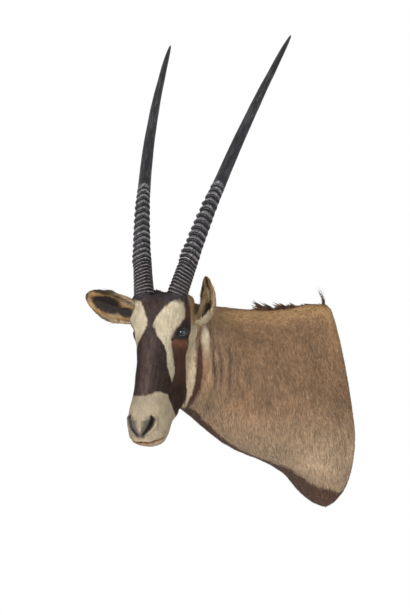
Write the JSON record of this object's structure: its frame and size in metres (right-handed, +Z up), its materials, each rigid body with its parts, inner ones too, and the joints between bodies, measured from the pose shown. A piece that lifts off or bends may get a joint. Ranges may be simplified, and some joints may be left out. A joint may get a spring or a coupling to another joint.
{
  "type": "gemsbok shoulder mount",
  "caption": "Mounted gemsbok head and shoulders with long ringed horns, glass eyes and a back board that hangs flat on a wall.",
  "frame": {"origin": "middle of the back board's back face, which lies flat on the wall", "axes": "+Z up, +X to the animal's left, +Y into the wall; the head stands out towards -Y"},
  "size_m": [0.5405, 0.6893, 1.3191],
  "materials": {
    "hide": "short-haired hide, taupe brown with cream and dark brown face markings",
    "horn": "natural horn, charcoal, ringed and satin",
    "eye": "dark glass eye with a blue-grey iris",
    "board": "plain plywood, sanded",
    "hanger": "zinc-plated steel"
  },
  "bodies": {
    "root": {"cape": "hide", "right_horn": "horn", "left_horn": "horn", "right_ear": "hide", "left_ear": "hide", "right_eye": "eye", "left_eye": "eye", "back_board": "board", "hanger_plate": "hanger", "hanger_screw_right": "hanger", "hanger_screw_left": "hanger"}
  },
  "joints": []
}
